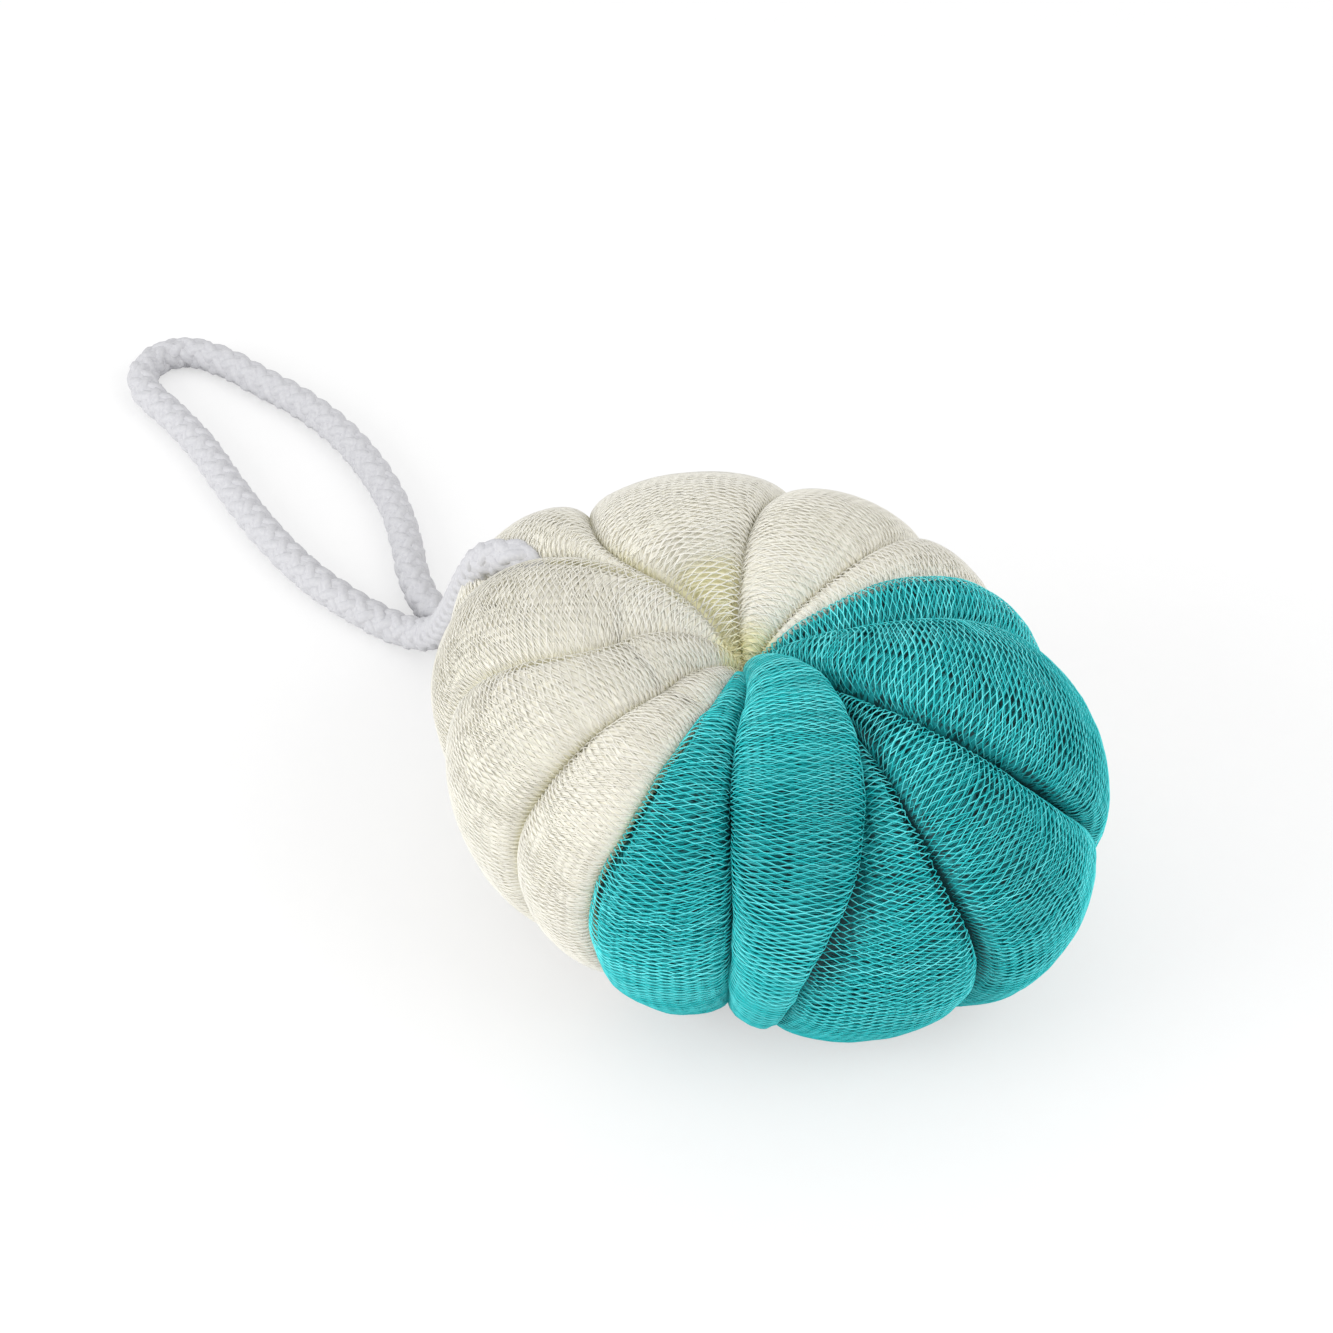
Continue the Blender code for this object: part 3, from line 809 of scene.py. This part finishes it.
def net_layer(draw, values, layer, depth, shift, stretch, width, points_at_bend):
    """One layer of strands, laid on the petal at its depth, as thin three-sided tubes."""
    lines = layer_pattern(draw, values, layer, shift, stretch, points_at_bend)
    spot = attribute(draw, "spot")
    place = draw.node("GeometryNodeInputPosition")
    outside = draw.node(
        "FunctionNodeBooleanMath", {"operation": "NOT"}, {0: on_petal(draw, values, place, spot, 1)}
    )
    lines = draw.node(
        "GeometryNodeDeleteGeometry", {"domain": "POINT"}, {"Geometry": lines, "Selection": outside}
    )
    surface = on_petal(draw, values, place, spot)
    outwards = on_petal(draw, values, attribute(draw, "outwards"), spot)
    folds = on_petal(draw, values, attribute(draw, "folds"), spot)
    crease, loose, dark = folds.part(0), folds.part(1), folds.part(2)
    uneven = draw.noise(surface, UNEVEN_SCALE, 1.0) - 0.5
    groove = loose * (SLACK_DEPTH * layer * SLACK_SHARE)
    groove = groove + dark * (DARK_DEPTH * (DARK_LEAST + layer * DARK_SHARE))
    sunk = outwards.scaled(uneven * values["Unevenness"] - depth - groove)
    # The deeper layers are also painted with crease shading in the loose and sunk patches.
    if layer:
        crease = draw.maths("MAXIMUM", crease, draw.maths("MAXIMUM", loose * LOOSE_SHADE, dark))
    lines = stored(draw, lines, "fold", crease)
    laid = surface.vector("ADD", surface, sunk)
    strand_radius = values["Strand radius"] * width
    on_table = draw.maths("MAXIMUM", laid.part(2), strand_radius * OVER_TABLE)
    laid = draw.joined(laid.part(0), laid.part(1), on_table)
    lines = draw.node("GeometryNodeSetPosition", None, {"Geometry": lines, "Position": laid})
    tubes = tube(draw, lines, STRAND_SIDES, strand_radius, closed=False)
    tubes = stored(draw, tubes, "layer", float(layer))
    return stored(draw, tubes, "OFBake", attribute(draw, "spot"), "FLOAT2", "CORNER")


print("sides of a strand:", STRAND_SIDES)

# %% The netting trees
TEAL_LAYERS = (
    (0, -0.0006, 0.0, 1.0, 0.95, 2),
    (1, -0.00015, 0.37, 1.05, 1.45, 1),
    (2, 0.0003, 0.71, 1.13, 1.8, 1),
)
CREAM_LAYERS = ((0, -0.0005, 0.0, 1.0, 1.0, 2), (1, -0.00015, 0.37, 1.0, 2.0, 1))


def netting_tree(name, layers):
    tree = bpy.data.node_groups.new(name, "GeometryNodeTree")
    named_inputs(tree, NET_INPUTS)
    values = input_wires(tree)
    draw = Wire(tree)
    join = tree.nodes.new("GeometryNodeJoinGeometry")
    for layer in layers:
        tree.links.new(net_layer(draw, values, *layer).socket, join.inputs[0])
    finish_tree(tree, draw, join, values["Material"])
    print(name, "has", len(tree.nodes), "nodes and", len(layers), "layers")
    return tree


net_trees = {"teal": netting_tree("teal_net", TEAL_LAYERS), "cream": netting_tree("cream_net", CREAM_LAYERS)}

# %% [markdown]
# ## From trees to meshes
# A tree does its work as a modifier on a petal's guide surface. The result is kept as a plain mesh, and
# the guide and its modifier go, because what leaves the program is plain meshes. Each petal has values of
# its own: the middle teal petal's layers lie in step and show rows of slits, the others' lie apart.

# %% Running a tree on an object


def run_tree(piece, tree, settings):
    """Sets the tree's inputs by name, runs it and keeps the result as a plain mesh."""
    modifier = piece.modifiers.new(tree.name, "NODES")
    modifier.node_group = tree
    for item in tree.interface.items_tree:
        if item.in_out == "INPUT" and item.name in settings:
            modifier[item.identifier] = settings[item.name]
    graph = bpy.context.evaluated_depsgraph_get()
    made = bpy.data.meshes.new_from_object(piece.evaluated_get(graph))
    piece.modifiers.remove(modifier)
    made.shade_smooth()
    return made


print("trees:", [tree.name for tree in net_trees.values()])

# %% Values of each petal's net
GUIDE_ROWS = 130
GUIDE_STEPS = 40
CREAM_LOOK = {"Zigzag": 0.42, "Unevenness": 0.0003}
NET_LOOKS = {
    "front_left": {
        "Spacing": 0.00060, "Half wave": 0.0022, "Drift": 0.0040, "Skew": -0.14, "Layers apart": 0.5,
    },
    "front_spindle": {
        "Spacing": 0.00060, "Half wave": 0.0019, "Drift": 0.0012, "Skew": -0.03, "Layers apart": 0.06,
        "Zigzag": 0.32, "Strand radius": 0.0001,
    },
    "front_right": {"Spacing": 0.00064, "Half wave": 0.0019, "Skew": -0.10, "Layers apart": 0.6},
    "right_front": {
        "Spacing": 0.00062, "Half wave": 0.0021, "Drift": 0.0030, "Skew": -0.20, "Layers apart": 0.35,
    },
    "right_wide": {
        "Spacing": 0.00060, "Half wave": 0.0022, "Drift": 0.0022, "Skew": -0.24, "Layers apart": 0.5,
    },
    "tucked": {"Spacing": 0.00060, "Half wave": 0.0021},
}
print("petals with values of their own:", sorted(NET_LOOKS))

# %% A petal's guide surface
TINY = 1e-12


def petal_guide(index, places, steps):
    """A petal's surface with its flat map, its outward directions and its folds, and the map's size."""
    colour = PETALS[index][1]
    points = petal_surface(index, places, steps, rounding=NET_ROUNDING[colour])
    along, across = flat_map(points)
    length, width = along.max(), 2 * np.abs(across).max()
    chart = np.stack([along / length, across / width + 0.5], -1)
    guide = add_piece("guide", grid_mesh("guide", [points], [chart]))
    over = np.gradient(points, axis=1)
    over[:, 0] = points[:, 1] - points[:, 0]
    outwards = np.cross(np.gradient(points, axis=0), over)
    outwards /= np.maximum(np.linalg.norm(outwards, axis=2, keepdims=True), TINY)
    loose = patches(SLACK_PLACES, index, places, steps)
    dark = patches(DARK_PLACES, index, places, steps)
    folds = np.stack([crease_shading_share(colour, places, steps), loose, dark], -1)
    for name, vectors in (("outwards", outwards), ("folds", folds)):
        kept = guide.data.attributes.new(name, "FLOAT_VECTOR", "POINT")
        kept.data.foreach_set("vector", vectors.ravel())
    return guide, length, width


print("guide of a petal:", GUIDE_ROWS, "by", GUIDE_STEPS)

# %% Nets on the petals
places = np.linspace(-HUB_OVERRUN, 1 + HUB_OVERRUN, GUIDE_ROWS + 1)
steps = np.linspace(0, 1, GUIDE_STEPS + 1)
nets = {}
for k, petal in enumerate(PETALS):
    guide, length, width = petal_guide(k, places, steps)
    settings = {"Length": float(length), "Width": float(width), "Seed": float(k)}
    settings["Material"] = strand_finishes[petal[1]]
    settings.update(NET_LOOKS.get(petal[0], CREAM_LOOK))
    mesh = run_tree(guide, net_trees[petal[1]], settings)
    bpy.data.objects.remove(guide, do_unlink=True)
    mesh.name = petal[1] + "_net_" + petal[0]
    nets[petal[0]] = add_piece(mesh.name, mesh)
    print(mesh.name, round(length / MM), "by", round(width / MM), "mm,", len(mesh.polygons) * 2, "triangles")

# %% [markdown]
# ## The rope
# The rope is a braid of eight strands round a core: four wind one way and four the other, each going over
# and under those that it meets. A twist of bump on a plain tube would show a smooth outline, and the real
# one is bumpy, so the strands are made. The route is a smooth curve through points: it leaves the tie over
# the edge of the puff, goes round the loop on the table and back under the puff to the tie.

# %% The rope's route
FINE_POINTS, ROPE_POINTS = 1600, 320
ROPE_ROUTE_MM = (
    (-11.6, 3.8, 40.5), (-17.0, 7.4, 42.6), (-24.2, 12.1, 47.1), (-31.6, 16.8, 52.5),
    (-38.8, 20.9, 57.2), (-45.0, 23.6, 59.5), (-49.8, 27.4, 56.4), (-53.2, 34.1, 47.6),
    (-56.2, 43.0, 35.1), (-59.3, 52.1, 22.6), (-62.8, 60.8, 11.8), (-67.2, 67.0, 5.8),
    (-72.8, 71.8, 3.8), (-80.0, 77.6, 3.6), (-90.0, 87.6, 3.6), (-100.0, 101.4, 3.6),
    (-108.8, 116.8, 3.6), (-117.4, 133.2, 3.6), (-125.0, 144.6, 3.6), (-130.8, 152.6, 3.6),
    (-132.4, 159.4, 3.6), (-129.6, 165.2, 3.6), (-123.6, 167.6, 3.6), (-116.8, 164.8, 3.6),
    (-106.6, 156.6, 3.6), (-95.8, 147.2, 3.6), (-86.8, 136.2, 3.6), (-79.4, 123.2, 3.6),
    (-74.4, 110.8, 3.6), (-71.4, 98.8, 3.6), (-69.4, 88.2, 3.6), (-66.2, 79.2, 3.6),
    (-61.0, 71.8, 3.6), (-54.8, 64.4, 3.6), (-48.2, 56.2, 3.8), (-42.0, 48.0, 5.4),
    (-36.0, 39.6, 9.0), (-29.6, 30.8, 14.6), (-22.7, 21.5, 21.5), (-10.6, 4.8, 31.0),
)


def rope_line(count):
    """Evenly spaced points on a smooth curve through the route, in metres."""
    route = np.array(ROPE_ROUTE_MM) * MM
    reach = np.concatenate([[0], np.cumsum(np.linalg.norm(np.diff(route, axis=0), axis=1))])
    fine = smooth_curve(reach, route, np.linspace(0, reach[-1], FINE_POINTS))
    length = np.concatenate([[0], np.cumsum(np.linalg.norm(np.diff(fine, axis=0), axis=1))])
    wanted = np.linspace(0, length[-1], count)
    return np.stack([np.interp(wanted, length, fine[:, k]) for k in range(3)], 1), length[-1]


rope_path, rope_length = rope_line(ROPE_POINTS)
print("rope length", round(rope_length / MM, 1), "mm")

# %% The braid tree
ROPE_INPUTS = (
    ("Geometry", "NodeSocketGeometry", None),
    ("Rope length", "NodeSocketFloat", 0.45),
    ("Strands each way", "NodeSocketInt", 4),
    ("Pitch", "NodeSocketFloat", 0.0205),
    ("Lay radius", "NodeSocketFloat", 0.0019),
    ("Over and under", "NodeSocketFloat", 0.00028),
    ("Strand radius", "NodeSocketFloat", 0.0014),
    ("Core radius", "NodeSocketFloat", 0.0029),
    ("Material", "NodeSocketMaterial", None),
)
POINTS_PER_PITCH = 28
STRAND_FACETS, CORE_FACETS = 8, 12


def braid_strands(draw, values, way):
    """The strands that wind one way round the rope, as tubes."""
    strands = values["Strands each way"]
    count = draw.maths("ROUND", values["Rope length"] / values["Pitch"] * POINTS_PER_PITCH)
    starts = draw.joined(0.0, draw.node("GeometryNodeInputIndex"))
    low, high = draw.joined(0.0, 0.0), draw.joined(values["Rope length"], 0.0)
    lines = copied_line(draw, strands, starts, low, high, count)
    place = draw.node("GeometryNodeInputPosition")
    along, strand = place.part(0), place.part(1)
    turned = along / values["Pitch"] * (2 * math.pi)
    angle = turned * way + strand * (2 * math.pi) / strands
    radius = values["Lay radius"] + values["Over and under"] * way * draw.maths("COSINE", turned * strands)
    settings = {"mode": "LENGTH", "data_type": "FLOAT"}
    inputs = {"Curves": values["Geometry"], "Length": along}
    centre, tangent, normal = (
        draw.node("GeometryNodeSampleCurve", settings, inputs, output) for output in (1, 2, 3)
    )
    side = normal.vector("CROSS_PRODUCT", tangent, normal)
    out = normal.scaled(draw.maths("COSINE", angle) * radius)
    offset = normal.vector("ADD", out, side.scaled(draw.maths("SINE", angle) * radius))
    laid = centre.vector("ADD", centre, offset)
    lines = draw.node("GeometryNodeSetPosition", None, {"Geometry": lines, "Position": laid})
    return tube(draw, lines, STRAND_FACETS, values["Strand radius"])


braid_tree = bpy.data.node_groups.new("braided_rope", "GeometryNodeTree")
named_inputs(braid_tree, ROPE_INPUTS)
values = input_wires(braid_tree)
draw = Wire(braid_tree)
join = braid_tree.nodes.new("GeometryNodeJoinGeometry")
for way in (1, -1):
    braid_tree.links.new(braid_strands(draw, values, way).socket, join.inputs[0])
core = tube(draw, values["Geometry"], CORE_FACETS, values["Core radius"])
braid_tree.links.new(core.socket, join.inputs[0])
finish_tree(braid_tree, draw, join, values["Material"])
print("braid tree:", len(braid_tree.nodes), "nodes")

# %% [markdown]
# ## Finish of the rope
# The strands of the braid are bundles of fine matt filaments. These are too fine to model, so a small
# bump and two greys that are close together stand for them.

# %% Finish of the rope
ROPE_GREYS = ((0.53, 0.53, 0.555, 1), (0.58, 0.58, 0.60, 1))
FILAMENTS, ROPE_CLOUDS = 1500.0, 120.0
FINE_FROM, FINE_TO = 0.3, 0.7

rope_finish, draw, shader = new_finish("white_braid")
fine = draw.noise(draw.own_place(), FILAMENTS)
draw.feed(shader.inputs["Base Color"], draw.between(draw.band(fine, FINE_FROM, FINE_TO), *ROPE_GREYS))
draw.feed(shader.inputs["Roughness"], 0.55 + 0.2 * draw.noise(draw.own_place(), ROPE_CLOUDS))
draw.feed(shader.inputs["Normal"], draw.bump(fine, 0.35, 0.0003))
print("rope finish:", rope_finish.name)

# %% The rope as a mesh
route_curve = bpy.data.curves.new("rope_route", "CURVE")
route_curve.dimensions = "3D"
spline = route_curve.splines.new("POLY")
spline.points.add(len(rope_path) - 1)
for point, place in zip(spline.points, rope_path):
    point.co = (*place, 1.0)
route = add_piece("rope_route", route_curve)
rope_mesh = run_tree(route, braid_tree, {"Rope length": float(rope_length), "Material": rope_finish})
bpy.data.objects.remove(route, do_unlink=True)
rope_mesh.name = "braided_rope"
rope = add_piece("braided_rope", rope_mesh)
print("rope:", len(rope_mesh.polygons) * 2, "triangles")

# %% [markdown]
# ## The tie
# The cord round the waist is hidden between the petals, so the plain solid keeps its shape and only gets a
# finish of twisted yarn.

# %% Finish of the tie
TIE_GREYS = ((0.60, 0.60, 0.62, 1), (0.82, 0.82, 0.84, 1))
YARN = 900.0

tie_finish, draw, shader = new_finish("tie_cord")
yarn = draw.noise(draw.own_place(), YARN)
draw.feed(shader.inputs["Base Color"], draw.between(yarn, *TIE_GREYS))
draw.feed(shader.inputs["Normal"], draw.bump(yarn, 0.4, 0.0003))
shader.inputs["Roughness"].default_value = 0.7
tie = frame["nodes"]["waist_tie"]
for slot in tie.material_slots:
    slot.material = tie_finish
print("tie slots:", len(tie.material_slots))

# %% [markdown]
# ## The pieces on the frame
# Each piece rides on the one body of the frame and stands for the plain solid that it hides. The netting
# is soft and springy. The rope is a cord whose two ends go back into the puff.

# %% Pieces and bodies
for colour, skin in inner_skins.items():
    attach(skin, "root")
    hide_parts(colour + "_netting")
for petal in PETALS:
    net = nets[petal[0]]
    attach(net, "root")
    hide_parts(petal[1] + "_netting")
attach(rope, "root")
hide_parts("hanging_rope")
total = sum(len(piece.data.polygons) for piece in bpy.context.scene.objects if piece.type == "MESH")
print("faces in the scene:", total)
